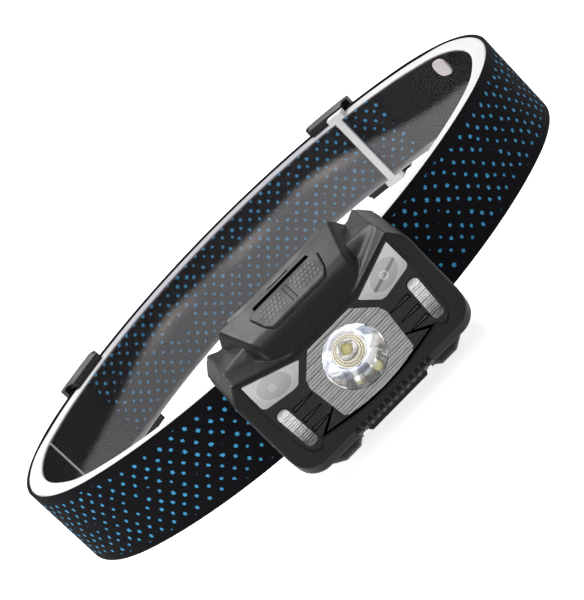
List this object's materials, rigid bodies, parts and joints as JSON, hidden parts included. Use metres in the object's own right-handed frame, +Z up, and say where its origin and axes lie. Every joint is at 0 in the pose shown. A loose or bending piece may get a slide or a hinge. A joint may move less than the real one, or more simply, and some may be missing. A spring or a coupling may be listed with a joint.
{
  "type": "headlamp",
  "caption": "Rechargeable headlamp on an adjustable elastic headband: tilting lamp head with main reflector, side windows, two top buttons and an oval former inside the band.",
  "frame": {"origin": "middle of the footprint at the height of the flats under the two hinge knobs", "axes": "+Z up along the wearer's height, the lamp looks along -Y, +X to the right seen from the lamp's front as pictured"},
  "size_m": [0.206, 0.1856, 0.0521],
  "materials": {
    "band_webbing": "woven, matt",
    "hoop_clear": "clear plastic, gloss",
    "clip_white": "satin",
    "slider_black": "satin",
    "bracket_black": "satin",
    "steel": "plain",
    "nylon": "matt",
    "shell_black": "fine spark grain",
    "cover_black": "fine spark grain",
    "screw_steel": "blackened",
    "insert_black": "satin",
    "plate_grey": "ribbed, metallic grey",
    "chrome": "bright",
    "lens_clear": "clear",
    "aluminium": "machined",
    "ceramic_white": "matt",
    "phosphor": "silicone, matt",
    "dome_clear": "clear silicone",
    "window_milky": "frosted inside, gloss outside",
    "trim_chrome": "bright, finely grooved",
    "circuit": "solder mask",
    "battery_foil": "foil pouch",
    "nickel": "nickel plated",
    "port_rubber": "matt",
    "led_white": "matt",
    "sensor_dark": "gloss",
    "key_rubber": "matt, raised dots",
    "switch_body": "matt"
  },
  "bodies": {
    "strap": {"headband": "band_webbing", "band_fold": "band_webbing", "band_hoop": "hoop_clear", "hoop_clip": "clip_white", "hoop_seam": "clip_white", "hoop_stud": "clip_white", "strap_bracket": "bracket_black", "hinge_pins": "steel", "hinge_washers": "nylon"},
    "lamp": {"front_shell": "shell_black", "rear_shell": "cover_black", "cover_screws": "screw_steel", "face_insert": "insert_black", "reflector_plate": "plate_grey", "reflector": "chrome", "main_lens": "lens_clear", "led_board": "aluminium", "led_package": "ceramic_white", "led_phosphor": "phosphor", "led_dome": "dome_clear", "left_window": "window_milky", "right_window": "window_milky", "left_trim": "trim_chrome", "right_trim": "trim_chrome", "main_board": "circuit", "battery": "battery_foil", "usb_socket": "nickel", "side_led": "led_white", "motion_sensor": "sensor_dark", "button_board": "circuit", "tact_switches": "switch_body"},
    "left_slider": {"left_slider": "slider_black"},
    "right_slider": {"right_slider": "slider_black"},
    "mode_button": {"mode_button": "key_rubber"},
    "sensor_button": {"sensor_button": "key_rubber"},
    "charge_port_cover": {"charge_port_cover": "port_rubber"}
  },
  "joints": [
    {"name": "lamp_tilt", "type": "hinge", "parent": "strap", "child": "lamp", "pos_m": [0, -0.076, 0.0052], "axis": [1, 0, 0], "range_deg": [0, 60]},
    {"name": "left_slider_travel", "type": "hinge", "parent": "strap", "child": "left_slider", "pos_m": [0, -0.02685, 0.0244], "axis": [0, 0, 1], "range_deg": [-3.5, 3.5]},
    {"name": "right_slider_travel", "type": "hinge", "parent": "strap", "child": "right_slider", "pos_m": [0, -0.02685, 0.0244], "axis": [0, 0, 1], "range_deg": [-3.5, 3.5]},
    {"name": "mode_button_press", "type": "slide", "parent": "lamp", "child": "mode_button", "axis": [0, 0.3714, -0.9285], "range_m": [0, 0.0005], "stiffness_N_per_m": 1500},
    {"name": "sensor_button_press", "type": "slide", "parent": "lamp", "child": "sensor_button", "axis": [0, 0.3714, -0.9285], "range_m": [0, 0.0005], "stiffness_N_per_m": 1500},
    {"name": "port_cover_swing", "type": "hinge", "parent": "lamp", "child": "charge_port_cover", "pos_m": [-0.0334, -0.0773, 0.0234], "axis": [0, 0, -1], "range_deg": [0, 100], "stiffness_Nm_per_rad": 0.001}
  ]
}
